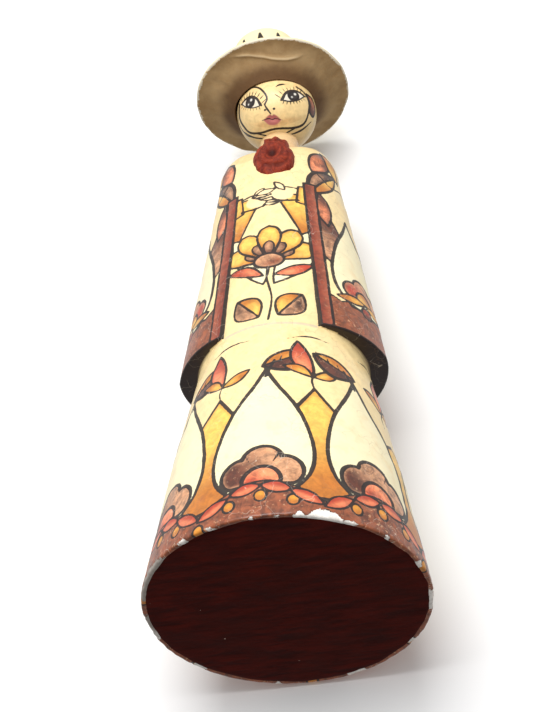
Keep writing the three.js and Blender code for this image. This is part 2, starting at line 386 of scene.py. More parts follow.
class Nodes:
    """A short way to write a material's nodes."""

    def __init__(self, name):
        self.material = bpy.data.materials.new(name)
        self.material.use_nodes = True
        self.tree = self.material.node_tree
        self.shader = self.tree.nodes["Principled BSDF"]
        self.place = self.add("ShaderNodeTexCoord").outputs["Object"]

    def add(self, kind, inputs=None, **values):
        node = self.tree.nodes.new(kind)
        for key, value in values.items():
            setattr(node, key, value)
        for key, value in (inputs or {}).items():
            self.set(node.inputs[key], value)
        return node

    def set(self, socket, value):
        if isinstance(value, bpy.types.NodeSocket):
            self.tree.links.new(value, socket)
        else:
            socket.default_value = value

    def attribute(self, name, output="Fac"):
        return self.add("ShaderNodeAttribute", attribute_name=name).outputs[output]

    def noise(self, size_mm, detail=2.0, roughness=0.5, distortion=0.0, stretch=None, seed=0.0):
        place = self.place
        if stretch or seed:
            place = self.add(
                "ShaderNodeMapping", {
                    "Vector": place, "Scale": stretch or (1, 1, 1), "Location": (seed, seed, 0)
                }
            ).outputs[0]
        inputs = {
            "Vector": place, "Scale": 1 / (size_mm * MM), "Detail": detail, "Roughness": roughness,
            "Distortion": distortion,
        }
        return self.add("ShaderNodeTexNoise", inputs).outputs["Fac"]

    def cells(self, size_mm, feature="DISTANCE_TO_EDGE", warp=0.0, stretch=None):
        place = self.place
        if warp:
            bend = self.add("ShaderNodeTexNoise", {"Vector": place, "Scale": 1 / (warp * MM), "Detail": 2.0})
            shift = self.add(
                "ShaderNodeVectorMath", {0: bend.outputs["Color"], 1: (size_mm * MM,) * 3}, operation="MULTIPLY"
            ).outputs[0]
            place = self.add("ShaderNodeVectorMath", {0: place, 1: shift}, operation="ADD").outputs[0]
        if stretch:
            place = self.add("ShaderNodeMapping", {"Vector": place, "Scale": stretch}).outputs[0]
        node = self.add(
            "ShaderNodeTexVoronoi", {"Vector": place, "Scale": 1 / (size_mm * MM)}, feature=feature
        )
        return node.outputs["Distance"]

    def math(self, operation, a, b=0.0, clamp=False):
        return self.add("ShaderNodeMath", {0: a, 1: b}, operation=operation, use_clamp=clamp).outputs[0]

    def ramp(self, value, low, high, to_low=0.0, to_high=1.0):
        """value from low to high, turned smoothly into to_low to to_high."""
        inputs = {"Value": value, "From Min": low, "From Max": high, "To Min": to_low, "To Max": to_high}
        return self.add("ShaderNodeMapRange", inputs, interpolation_type="SMOOTHSTEP").outputs[0]

    def mix(self, share, a, b, blend="MIX"):
        node = self.add("ShaderNodeMix", data_type="RGBA", blend_type=blend)
        for socket, value in ((node.inputs[0], share), (node.inputs[6], a), (node.inputs[7], b)):
            self.set(socket, value)
        return node.outputs[2]

    def scaled(self, colour, factor):
        """A colour times a grey factor."""
        grey = self.add("ShaderNodeCombineColor", {"Red": factor, "Green": factor, "Blue": factor}).outputs[0]
        return self.mix(1.0, colour, grey, "MULTIPLY")

    def bump(self, height, depth_mm, below=None):
        inputs = {"Height": height, "Distance": depth_mm * MM, "Strength": 1.0}
        if below is not None:
            inputs["Normal"] = below
        return self.add("ShaderNodeBump", inputs).outputs[0]

    def finish(self, colour, roughness, normal, coat=0.0, coat_roughness=0.1, specular=0.5):
        for key, value in (
            ("Base Color", colour), ("Roughness", roughness), ("Normal", normal), ("Coat Weight", coat),
            ("Coat Roughness", coat_roughness), ("Specular IOR Level", specular),
        ):
            self.set(self.shader.inputs[key], value)
        return self.material


def rgba(colour):
    return (*linear(colour), 1.0)


def painted_material(name, crackle=0.35, scratches=0.5, chips=False, coat=0.3, bold=0.36):
    """Paint and ink on papier-mache under a satin varnish, from the values on the mesh."""
    n = Nodes(name)
    paint, ink, wash = n.attribute("paint", "Color"), n.attribute("ink"), n.attribute("wash")
    clouds = n.noise(14, 3.0)
    dabs = n.noise(3.2, 4.0, 0.62, 0.6)
    grain = n.noise(0.8, 3.0, 0.6)
    tone = n.math("ADD", 0.97, n.math("MULTIPLY", n.math("SUBTRACT", clouds, 0.5), 0.14))
    uneven = n.math(
        "MULTIPLY", n.math("SUBTRACT", n.ramp(dabs, 0.28, 0.72), 0.45), n.math("MULTIPLY", wash, 0.85)
    )
    colour = n.scaled(paint, n.math("ADD", tone, uneven))
    dark_dabs = n.ramp(n.noise(4.2, 4.0, 0.65, 0.8, seed=0.6), 0.5, 0.66, 0.0, 0.6)
    colour = n.mix(n.math("MULTIPLY", dark_dabs, n.ramp(wash, 0.5, 1.0)), colour, rgba((62, 26, 14)))
    flecks = n.ramp(n.noise(1.6, 3.0, 0.6, seed=0.9), 0.6, 0.7, 0.0, 0.55)
    colour = n.mix(n.math("MULTIPLY", flecks, n.ramp(wash, 0.5, 1.0)), colour, rgba((226, 176, 132)))
    warm = n.ramp(n.noise(7, 3.0, 0.6, seed=0.4), 0.5, 0.75, 0.0, 0.22)
    colour = n.mix(warm, colour, rgba((242, 190, 120)), "MULTIPLY")

    wander = n.math("ADD", n.noise(1.3, 2.0), n.math("MULTIPLY", n.noise(9, 1.0, seed=3.1), 1.3))
    edge = n.math("ADD", ink, n.math("MULTIPLY", n.math("SUBTRACT", wander, 1.15), bold))
    line = n.ramp(edge, -0.09, 0.09, 1.0, 0.0)
    ink_tone = n.mix(n.ramp(dabs, 0.4, 0.8), rgba(INK), rgba((44, 20, 12)))
    colour = n.mix(n.math("MULTIPLY", line, 0.98), colour, ink_tone)

    cracks = n.ramp(n.cells(9, warp=6), 0.0, 0.012, 1.0, 0.0)
    cracks = n.math("MULTIPLY", cracks, n.ramp(n.noise(20, 2.0, seed=0.8), 0.42, 0.62))
    colour = n.mix(n.math("MULTIPLY", cracks, crackle), colour, rgba((120, 84, 52)))
    scratch_cells = n.cells(16, warp=9, stretch=(1.6, 1.6, 0.55))
    scratch = n.math("MULTIPLY", n.ramp(scratch_cells, 0.0, 0.007, 1.0, 0.0), n.ramp(clouds, 0.4, 0.6))
    colour = n.mix(n.math("MULTIPLY", scratch, scratches), colour, rgba((240, 226, 206)))

    height = n.math("ADD", n.math("MULTIPLY", n.noise(5, 3.0), 0.7), n.math("MULTIPLY", grain, 0.16))
    height = n.math("SUBTRACT", height, n.math("MULTIPLY", cracks, 0.25))
    height = n.math("ADD", height, n.math("MULTIPLY", line, 0.07))
    roughness = n.math("ADD", 0.36, n.math("MULTIPLY", dabs, 0.2))
    roughness = n.math("ADD", roughness, n.math("MULTIPLY", line, 0.14))
    if chips:
        chip = n.math(
            "ADD", n.attribute("chip"),
            n.math("MULTIPLY", n.math("SUBTRACT", n.noise(2.6, 4.0, 0.7), 0.5), 4.6)
        )
        bare = n.ramp(chip, -0.12, 0.12)
        soot = n.mix(
            n.ramp(n.noise(1.6, 3.0, 0.6, seed=1.2), 0.4, 0.7), n.attribute("bare", "Color"), rgba(WORN)
        )
        colour = n.mix(bare, colour, n.mix(0.35, n.attribute("bare", "Color"), soot))
        roughness = n.math("ADD", roughness, n.math("MULTIPLY", bare, 0.4), clamp=True)
        height = n.math("SUBTRACT", height, n.math("MULTIPLY", bare, 1.4))
    return n.finish(colour, roughness, n.bump(height, 0.16), coat, 0.16, 0.4)


def base_material():
    """The underside's thick dark paint, brushed one way, with a few specks knocked off it."""
    n = Nodes("base_paint")
    streaks = n.noise(6, 5.0, 0.65, 0.3, stretch=(0.35, 1.6, 1.0))
    clouds = n.noise(26, 2.0)
    colour = n.mix(n.ramp(streaks, 0.3, 0.72), rgba((50, 5, 1)), rgba((84, 19, 10)))
    colour = n.mix(n.ramp(clouds, 0.4, 0.75, 0.0, 0.5), colour, rgba((58, 16, 9)))
    specks = n.ramp(n.cells(11, "F1", warp=7), 0.02, 0.035, 1.0, 0.0)
    specks = n.math("MULTIPLY", specks, n.ramp(n.noise(18, 2.0, seed=2.2), 0.5, 0.56))
    colour = n.mix(specks, colour, rgba((205, 176, 160)))
    rim = n.ramp(
        n.math("ADD", n.attribute("rim"), n.math("MULTIPLY", n.noise(2.2, 4.0, 0.7), 2.4)), 0.9, 1.3, 1.0, 0.0
    )
    colour = n.mix(n.math("MULTIPLY", rim, 0.5), colour, rgba(WORN))
    height = n.math("ADD", n.math("MULTIPLY", streaks, 0.7), n.math("MULTIPLY", n.noise(1.2, 3.0), 0.25))
    return n.finish(colour, n.ramp(streaks, 0.2, 0.8, 0.5, 0.66), n.bump(height, 0.22), 0.0, 0.3, 0.05)


def hat_material():
    """Cream paint above, bare wrinkled brown paper below, stained and with painted shade near the head."""
    n = Nodes("hat_paper")
    under, shade_and_stain, paint = n.attribute("under"), n.attribute("shade_and_stain"), n.attribute("paint", "Color")
    ink = n.attribute("ink")
    fibres = n.noise(2.4, 5.0, 0.7, 0.8)
    clouds = n.noise(9, 4.0, 0.6)
    bare = n.mix(n.ramp(clouds, 0.25, 0.75), rgba((168, 134, 90)), rgba((198, 166, 120)))
    bare = n.mix(n.ramp(fibres, 0.45, 0.8, 0.0, 0.35), bare, rgba((196, 168, 128)))
    # Stains and painted shade: the underside is painted darker towards the head.
    dark = n.math("ADD", shade_and_stain, n.math("MULTIPLY", n.math("SUBTRACT", clouds, 0.5), 0.9))
    bare = n.mix(n.ramp(dark, 0.15, 0.95, 0.0, 0.85), bare, rgba(HAT_SHADE_AND_STAIN))
    spots = n.math(
        "MULTIPLY", n.ramp(n.cells(10, "F1", warp=5), 0.03, 0.055, 1.0, 0.0), n.ramp(clouds, 0.5, 0.56)
    )
    bare = n.mix(n.math("MULTIPLY", spots, 0.8), bare, rgba((62, 30, 14)))
    # A painted highlight along the crease's ridge on the underside.
    bare = n.mix(n.ramp(n.attribute("crease_highlight"), 0.3, 0.9, 0.0, 0.7), bare, rgba((216, 190, 148)))
    flaked = n.math("ADD", n.attribute("rim"), n.math("MULTIPLY", n.noise(3.4, 4.0, 0.7, seed=1.7), 3.6))
    bare = n.mix(n.ramp(flaked, 0.95, 1.15), bare, rgba((238, 226, 202)))
    tone = n.math("ADD", 0.96, n.math("MULTIPLY", n.math("SUBTRACT", clouds, 0.5), 0.2))
    cream = n.scaled(paint, tone)
    line = n.ramp(
        n.math("ADD", ink, n.math("MULTIPLY", n.math("SUBTRACT", fibres, 0.5), 0.3)), -0.1, 0.1, 1.0, 0.0
    )
    cream = n.mix(n.math("MULTIPLY", line, 0.94), cream, rgba(INK))
    edge = n.math("ADD", under, n.math("MULTIPLY", n.math("SUBTRACT", fibres, 0.5), 1.6))
    share = n.ramp(edge, -0.12, 0.12)
    colour = n.mix(share, cream, bare)
    height = n.math("ADD", n.math("MULTIPLY", fibres, 0.5), n.math("MULTIPLY", clouds, 0.8))
    return n.finish(colour, n.ramp(share, 0.0, 1.0, 0.48, 0.7), n.bump(height, 0.3), 0.0, 0.3, 0.3)


def kerchief_material():
    """Crumpled paper brushed with dark red, with painted shade in its folds and hollow, and worn on their crests.
    """
    n = Nodes("kerchief_paper")
    dabs = n.noise(2.2, 5.0, 0.68, 0.8)
    deep = n.math("ADD", n.attribute("fold_shade"), n.math("MULTIPLY", n.math("SUBTRACT", dabs, 0.5), 0.7))
    colour = n.mix(n.ramp(dabs, 0.3, 0.72), rgba((98, 26, 16)), rgba((158, 62, 38)))
    # Painted shade in the folds and the hollow.
    colour = n.mix(n.ramp(deep, 0.3, 0.95, 0.0, 0.92), colour, rgba(KERCHIEF_FOLD_SHADE))
    fleck = n.ramp(n.noise(0.9, 3.0, 0.7, seed=0.7), 0.62, 0.74, 0.0, 0.55)
    colour = n.mix(n.math("MULTIPLY", fleck, n.ramp(deep, 0.1, 0.5, 1.0, 0.0)), colour, rgba((206, 122, 92)))
    height = n.math("ADD", n.math("MULTIPLY", dabs, 0.9), n.math("MULTIPLY", n.noise(0.7, 3.0), 0.25))
    return n.finish(colour, n.ramp(dabs, 0.2, 0.8, 0.42, 0.66), n.bump(height, 0.5), 0.0, 0.28, 0.16)


# ---- skirt and base ----

COLUMNS_OPENING, COLUMNS_EDGE, COLUMNS_REST = 48, 8, 184
SKIRT_ROWS, LEDGE_ROWS = 178, 6
ARCHES = 7
GARLAND_TOP, GARLAND_LOW = 17.5, 8.0
CHIPS = (  # azimuth, half width in degrees, height
    (25, 9, 5.2), (15, 4, 3.0), (35, 4, 2.8), (-3, 3, 1.9), (-20, 5, 2.0), (-34, 4, 2.4), (6, 3, 2.2),
    (-62, 20, 3.8), (-95, 13, 3.4), (52, 4, 2.1), (74, 4, 2.8), (98, 11, 3.2), (128, 5, 2.1), (160, 7, 2.6),
    (-130, 6, 2.4), (-165, 4, 1.9),
)


def half_columns(z):
    """Azimuths from the front to the back at each height: dense at the jacket's front edge."""
    opening = np.asarray(opening_at(z), float)[..., None]
    inner = opening * np.arange(COLUMNS_OPENING) / COLUMNS_OPENING
    edge = opening + EDGE_DEGREES * np.arange(COLUMNS_EDGE) / COLUMNS_EDGE
    outer = lerp(opening + EDGE_DEGREES, 180.0, np.arange(COLUMNS_REST + 1) / COLUMNS_REST)
    return np.concatenate([inner, edge, outer], -1)


def all_columns(z):
    half = half_columns(z)
    return np.concatenate([-half[..., -2:0:-1], half], -1)


def garland_height(azimuth):
    """The hem's garland hangs in shallow arches, one to each large petal."""
    swing = np.abs(np.cos(np.radians(azimuth * ARCHES / 2)))
    return lerp(GARLAND_LOW, GARLAND_TOP, swing)


def chip_depth(azimuth, z):
    """How far inside a chip of the rim a point lies, negative outside."""
    best = np.full(np.broadcast(azimuth, z).shape, -9.0)
    for centre, half, tall in CHIPS:
        across = np.clip(1 - (wrapped(azimuth - centre) / half) ** 2, -4, 1)
        best = np.maximum(best, tall * across - z - 1.5)
    return best


def skirt_rows():
    """Radius and height up the skirt, from under its rim."""
    rim = [(BASE_RADIUS - 2.2, 0.45), (BASE_RADIUS - BASE_EDGE, 0.12), (BASE_RADIUS - 0.25, 0.3)]
    up = np.linspace(0, 1, SKIRT_ROWS)
    radius = lerp(BASE_RADIUS, WAIST_RADIUS, up) + SKIRT_FULLNESS * np.sin(up * math.pi)
    z = lerp(BASE_EDGE, HEM_Z - HEM_EDGE / 2, up)
    return np.concatenate([rim, np.stack([radius, z], 1)])


def ring_of_hem(azimuth):
    """The lowest ring of the jacket's hem."""
    full = torso_radius(azimuth, HEM_Z) + jacket_thickness(azimuth, HEM_Z)
    return np.maximum(full - HEM_EDGE, WAIST_RADIUS)


def paint_garland(canvas):
    """Brown hem, a chain of rust ovals along the garland and a yellow drop under each joint."""
    under = canvas.height - garland_height(canvas.azimuth)
    everywhere = np.arange(canvas.azimuth.size)
    canvas.lay(everywhere, under, linear(BROWN_WARM), 1.0, 0.9)
    ovals = 4
    for arch_index in range(ARCHES):
        for i in range(ovals):
            step = FULL_TURN / ARCHES
            azimuth = step * (arch_index + (i + 0.5) / ovals - 0.5)
            ahead, behind = (garland_height(azimuth + s * step / ovals / 2) for s in (1, -1))
            long = math.radians(step / ovals) * BASE_RADIUS * 0.97
            turn = math.degrees(math.atan2(ahead - behind, long))
            place = (azimuth, garland_height(azimuth) - 2.6)
            shape = leaf(math.hypot(long, ahead - behind), 5.4)
            shape = (shape - (0, long / 2)) @ np.array([[0, 1], [-1, 0]])
            canvas.fill(shape, place, RUST_PALE, RUST, toward=90, turn=turn, wash=0.5, line=1.0)
            joint = azimuth + step / ovals / 2
            canvas.fill(
                oval(4.4, 5.4), (joint, garland_height(joint) - 7.2), YELLOW, OCHRE_DEEP, 270, line=0.9
            )


def paint_skirt(canvas):
    step = FULL_TURN / ARCHES
    for i in range(ARCHES):
        azimuth = i * step
        gable = np.array([(-12, 0), (-12, 40), (0, 53 + 5 * (-1) ** i), (12, 40), (12, 0)], float)
        canvas.fill(gable, (azimuth + step / 2, 9), OCHRE, OCHRE_DEEP, 300, wash=0.45, line=1.4)
    for i in range(ARCHES):
        azimuth = i * step
        canvas.fill(arch(36.5, 66), (azimuth, 12), BRIGHT, wash=0.04, line=1.6)
        canvas.fill(
            blossom(15.2, 3, 0.22), (azimuth, 20), BROWN, BROWN_PALE, 20 + 30 * (i % 2), wash=0.9, line=1.6
        )
        canvas.fill(blossom(6.9, 1, 0.0), (azimuth, 18), RUST, RUST_PALE, 60, wash=0.8, line=1.7)
        for side in (-1, 1):
            vein = spline([(3.5, 9), (5.6, 13.4), (6.2, 17)])
            canvas.stroke(vein, (azimuth, 17), 0.6, flip=side, taper=0.7)
    for i in range(ARCHES):
        azimuth = i * step
        side = (-1) ** i
        half = leaf(18, 11.5, 1.6)
        place = (azimuth - side * 2, 80)
        canvas.fill(half, place, OCHRE, OCHRE_DEEP, 200, turn=-64, flip=side, wash=0.5, line=1.4)
        canvas.fill(leaf(18, 6.2, 3.6), place, BROWN_DARK, BROWN, 30, turn=-64, flip=side, wash=0.8, line=1.1)
        for k in (6, 10.5, 15):
            canvas.stroke([(1.4, k), (-2.4, k + 3)], place, 0.7, turn=-64, flip=side, taper=0.5)
        canvas.stroke(spline([(0, -5), (side * 1.6, 0), (side * 3, 4)]), (azimuth, 79), 1.1)
        bud = (azimuth + step / 2, 74)
        canvas.fill(leaf(21, 7.6, -1.5), bud, RUST_PALE, RUST, 60, turn=12 * side, wash=0.6, line=1.2)
        for way in (-1, 1):
            canvas.fill(leaf(12, 4.6, 1), bud, OCHRE, OCHRE_DEEP, 60, turn=-62 * way, wash=0.5, line=1.0)
        canvas.stroke(spline([(0, -7), (-0.6, -3), (0, 0)]), bud, 0.8)
        canvas.stroke(spline([(-8, 22), (0, 24), (9, 23)]), bud, 0.9, taper=0.5)


def make_skirt():
    columns = all_columns(HEM_Z)
    rows = skirt_rows()
    radius, z = rows[:, :1], rows[:, 1:]
    hem = ring_of_hem(columns)
    out = np.linspace(0, 1, LEDGE_ROWS + 1)[1:, None]
    radius = np.concatenate([radius + 0 * columns, lerp(radius[-1:], hem, out)])
    z = np.concatenate([z + 0 * columns, lerp(z[-1], HEM_Z, out) + 0 * columns])
    azimuth = columns + 0 * radius
    flat = around(azimuth, radius, z).reshape(-1, 3)
    chip = chip_depth(azimuth, z).ravel()
    free = smoothstep(z.ravel(), 0, 4) * (1 - smoothstep(z.ravel(), HEM_Z - 4, HEM_Z - 1))
    swell = (0.22 * lumps(flat, 26, 3) + 0.09 * lumps(flat, 7, 4)) * free
    worn = 0.35 * smoothstep(chip + 1.3 * lumps(flat, 2.6, 8), -0.3, 0.5)
    ragged = 0.18 * lumps(flat, 5, 6) * (1 - smoothstep(z.ravel(), 0, 3))
    reach = np.minimum(radius.ravel() + swell - worn + ragged, body_high.x / MM - INSIDE)
    points = around(azimuth.ravel(), reach, z.ravel())

    canvas = Canvas(azimuth.ravel(), z.ravel(), radius.ravel(), GROUND)
    paint_skirt(canvas)
    paint_garland(canvas)
    ledge = np.zeros(azimuth.shape)
    ledge[-LEDGE_ROWS:] = 1
    canvas.colour = lerp(
        canvas.colour, linear(LEDGE), ledge.reshape(-1, 1) * (radius.ravel() > WAIST_RADIUS + 0.4)[:, None]
    )
    grey = smoothstep(-np.abs(azimuth.ravel() + 72), -34, -22)
    bare = lerp(linear(GESSO), linear(WORN), (0.75 * grey)[:, None])
    # A grey line along the waist joint in the front: grime in the joint and painted shade.
    waist_grime_and_shade = (z.ravel() > HEM_Z - 1.6) & (np.abs(azimuth.ravel()) < opening_at(HEM_Z) - 1)
    canvas.colour = lerp(canvas.colour, linear(WAIST_GRIME_AND_SHADE), 0.6 * waist_grime_and_shade[:, None])
    attributes = {**canvas.attributes(), "chip": chip, "bare": bare}
    piece = mesh_piece("skirt", leaned(points), grid_faces(*azimuth.shape), attributes)
    piece.data.materials.append(painted_material("painted_skirt", chips=True))
    return piece


def make_base_disc():
    columns, rings = 240, 70
    azimuth = np.arange(columns) * FULL_TURN / columns
    share = np.linspace(0, 1, rings + 1)[1:, None]
    edge = BASE_RADIUS - BASE_EDGE - 0.1 + 0.35 * lumps(around(azimuth, BASE_RADIUS, 0.0), 11, 21)
    radius = share * edge
    flat = around(azimuth, radius, 0.0)
    rise = 0.12 + 0.08 * lumps(flat, 13, 22) + 0.03 * lumps(flat, 3, 23)
    rise[-3:] += np.array([[0.05], [0.2], [0.5]])
    points = around(azimuth, radius, np.maximum(rise, 0)).reshape(-1, 3)
    points = np.concatenate([points, [[0, 0, 0.1]]])
    rim = np.append((edge - radius).ravel(), edge.mean())
    faces = grid_faces(rings, columns, first_pole=rings * columns)
    faces = [face[::-1] for face in faces]
    piece = mesh_piece("base", points, faces, {"rim": rim})
    piece.data.materials.append(base_material())
    return piece


# ---- jacket, torso and neck ----

WALL_ROWS, SHOULDER_ROWS, NECK_ROWS = 152, 30, 12
SHOULDER_REACH = 0.43
BAND_WIDTH = 5.0


def jacket_grid():
    """Azimuth, radius and height of the jacket, torso and neck, row by row."""
    rows = []
    for t in np.linspace(0, 1, 5)[:-1] * math.pi / 2:
        azimuth = all_columns(HEM_Z)
        full = torso_radius(azimuth, HEM_Z) + jacket_thickness(azimuth, HEM_Z)
        inset = HEM_EDGE * (1 - math.sin(t))
        rows.append(
            (
                azimuth, np.maximum(full - inset, WAIST_RADIUS),
                HEM_Z + HEM_EDGE * (1 - math.cos(t)) + 0 * azimuth
            )
        )
    for up in np.linspace(0, 1, WALL_ROWS):
        azimuth = all_columns(lerp(HEM_Z, WALL_TOP_SIDE, up))
        low = HEM_Z + HEM_EDGE
        z = lerp(low, between(WALL_TOP_FRONT, WALL_TOP_SIDE, azimuth, 2), up)
        rows.append((azimuth, torso_radius(azimuth, z) + jacket_thickness(azimuth, z), z))
    azimuth = all_columns(SHOULDER_Z)
    wall = between(WALL_TOP_FRONT, WALL_TOP_SIDE, azimuth, 2)
    for t in np.linspace(0, 1, SHOULDER_ROWS + 1)[1:]:
        share = 1 - (1 - SHOULDER_REACH) * t**1.7
        rise = 1 - share ** between(ROUNDNESS_FRONT, ROUNDNESS_SIDE, azimuth, 4)
        rows.append((azimuth, torso_radius(azimuth, wall) * share, lerp(wall, NECK_BASE_Z, rise)))
    turn = np.radians(azimuth)
    from_head = np.hypot(NECK_RADIUS * np.sin(turn), NECK_SETBACK - NECK_RADIUS * np.cos(turn))
    seat = HEAD_Z - np.sqrt((HEAD_RADIUS + 0.3) ** 2 - from_head**2)
    last_radius, last_z = rows[-1][1], rows[-1][2]
    for t in np.linspace(0, 1, NECK_ROWS + 1)[1:]:
        neck = NECK_RADIUS + (last_radius - NECK_RADIUS) * (1 - min(t * 2, 1)) ** 2.2
        rows.append((azimuth, neck, lerp(last_z, seat, t**1.6)))
    rows.append((azimuth, NECK_RADIUS * 0.8 + 0 * azimuth, seat - 0.8))
    return [np.stack(values) for values in zip(*rows)]


def paint_bands(canvas):
    """The red bands down the jacket's front edges, outlined in ink."""
    for side in (-1, 1):
        edge = opening_at(canvas.height) + EDGE_DEGREES * 0.6
        across = np.radians(wrapped(canvas.azimuth) * side - edge) * canvas.radius
        middle = np.abs(across - BAND_WIDTH / 2) - BAND_WIDTH / 2
        top = 188.0 + 1.5 * side
        distance = np.maximum(middle, canvas.height - top)
        shade = smoothstep(across, 0.5, 4.5)
        colour = lerp(linear(BAND_RED), linear((176, 97, 66)), shade[:, None] * 0.5)
        canvas.lay(np.arange(distance.size), distance, colour, 0.7, 1.1)


def paint_front(canvas):
    """The narrow panel between the jacket's edges: a flower on a stem, with leaves."""
    for side in (-1, 1):
        wedge = np.array([(3, 0), (17, 2), (17, -27), (13.5, -24)], float)
        canvas.fill(wedge, (0, 180), OCHRE, OCHRE_DEEP, 270, flip=side, wash=0.45, line=0.9)
        canvas.fill(leaf(34, 13, 2), (side * 4, 128), BRIGHT, wash=0.04, turn=-24 * side, line=1.0)
        canvas.fill(
            leaf(17, 5, 1.2), (side * 4, 133), RUST_PALE, RUST, 120, turn=-66 * side, wash=0.7, line=0.9
        )
        low = leaf(15, 12)
        place = (side * 7, 110)
        canvas.fill(low, place, OCHRE, OCHRE_DEEP, 90, turn=-38 * side, wash=0.5, line=1.1)
        canvas.fill(
            leaf(15, 6.4, 3.0 * side), place, BROWN_DARK, BROWN_PALE, 250, turn=-38 * side, wash=0.9, line=0.9
        )
    canvas.stroke(spline([(0, 0), (1.2, 12), (-0.8, 24), (0, 34)]), (0, 108), 1.0)
    for turn in (64, -64, 34, -34, 0):
        canvas.fill(drop_up(9.5, 21), (0, 141), OCHRE, OCHRE_DEEP, 250, turn=turn, wash=0.5, line=1.1)
        canvas.fill(drop_up(4.2, 11), (0, 142), BROWN_PALE, BROWN, 270, turn=turn, wash=0.9, line=0.8)
    canvas.fill(oval(12, 8), (0, 141.5), BROWN_WARM, BROWN_PALE, 120, wash=0.9, line=1.2)


def drop_up(width, height):
    """A petal, narrow below and round above."""
    return drop(width, height) * (1, -1) + (0, height)


def paint_hand(canvas, place, flip):
    """A plain hand in line, its four fingers toward the figure's middle."""
    azimuth, z = place
    for rise, lean, length in ((-3.2, 72, 8.0), (-1.1, 84, 9.5), (1.1, 96, 9.5), (3.2, 108, 8.0)):
        finger = leaf(length, 3.0)
        canvas.fill(finger, (azimuth - flip * 4, z + rise), SKIN, wash=0.05, turn=lean, flip=flip, line=0.9)
    canvas.fill(oval(8.6, 7.6), (azimuth + flip * 3, z), SKIN, wash=0.05, line=0)
    edge = spline([(-3.4, 3.9), (1.0, 4.4), (6.5, 3.6)])
    for way in (-1, 1):
        canvas.stroke(edge * (1, way), (azimuth + flip * 3, z), 0.95, flip=flip)
    canvas.fill(leaf(6.5, 3.0), (azimuth + flip * 5, z + 2.5), SKIN, wash=0.05, turn=38, flip=flip, line=0.9)


def paint_chest(canvas):
    """Folded hands and the sleeves' cuffs under the knot, and leaves on the shoulders."""
    for side in (-1, 1):
        cuff = np.array([(5, -5), (13, -7), (15, 6), (6, 5)], float)
        hand = (side * 9, 180 + side * 1.5)
        canvas.fill(cuff, (hand[0] + side * 4, hand[1]), OCHRE, OCHRE_DEEP, 0, flip=side, wash=0.5, line=1.0)
        paint_hand(canvas, hand, side)
        canvas.stroke(spline([(15, 7), (20, 14), (22, 24)]), hand, 0.9, flip=side, taper=0.3)
        yoke = leaf(25, 11, -1.5)
        place = (side * 36, 184)
        canvas.fill(yoke, place, OCHRE, OCHRE_DEEP, 300, turn=-40, flip=side, wash=0.5, line=1.3)
        canvas.fill(
            leaf(25, 5.2, -3.6), place, BROWN_PALE, BROWN_DARK, 60, turn=-40, flip=side, wash=0.9, line=1.0
        )
        canvas.fill(
            leaf(20, 10), (side * 42, 199), RUST_PALE, BROWN, 60, turn=-30, flip=side, wash=0.9, line=1.3
        )
        canvas.fill(
            leaf(16, 7), (side * 78, 202), OCHRE, OCHRE_DEEP, 60, turn=24, flip=side, wash=0.5, line=1.1
        )
        canvas.fill(
            leaf(18, 8), (side * 108, 196), BROWN_PALE, BROWN, 60, turn=-20, flip=side, wash=0.9, line=1.2
        )
        canvas.stroke(spline([(-6, 2), (0, -2), (9, 1), (16, -5)]), (side * 62, 196), 1.0, flip=side)


def paint_jacket(canvas):
    """Large pale petals holding lobed blossoms, over a brown dabbed hem."""
    everywhere = np.arange(canvas.azimuth.size)
    outside = (opening_at(canvas.height) + EDGE_DEGREES - np.abs(wrapped(canvas.azimuth))) * 0.55
    hem = 122 + 5 * np.abs(np.sin(np.radians(canvas.azimuth * 3.5)))
    canvas.lay(everywhere, np.maximum(canvas.height - hem, outside), linear(BROWN_WARM), 1.0, 1.0)
    for azimuth, low, tall, wide in ((72, 128, 54, 27), (124, 127, 52, 27), (180, 127, 50, 27)):
        for side in (-1, 1) if azimuth < 180 else (1,):
            centre = azimuth * side
            canvas.fill(
                leaf(30, 15), (centre - side * 25, low + 16), BROWN_PALE, BROWN, 60, wash=0.9, line=1.0
            )
            canvas.fill(arch(wide, tall), (centre, low - 6), BRIGHT, wash=0.04, flip=side, line=1.5)
            canvas.fill(
                blossom(10.5, 3, 0.24), (centre, low + 2), RUST, BROWN_PALE, 30, flip=side, wash=0.8, line=1.2
            )
            canvas.fill(blossom(4.6, 1, 0.0), (centre, low + 1), OCHRE, OCHRE_DEEP, 60, flip=side, line=1.1)
            for turn in (-98, 98):
                canvas.fill(
                    leaf(14, 4.2), (centre, low - 1), OCHRE, OCHRE_DEEP, 90, turn=turn, wash=0.5, line=0.9
                )
            canvas.fill(oval(6, 5.4), (centre, low - 5.5), RUST, BROWN, 270, wash=0.8, line=0.9)
    for side in (-1, 1):
        for azimuth, z, turn in ((98, 158, 8), (150, 156, -10), (50, 166, 14)):
            canvas.fill(
                leaf(24, 8.4, 1), (side * azimuth, z), RUST_PALE, BROWN, 60, turn=turn, flip=side, wash=0.9,
                line=1.0
            )


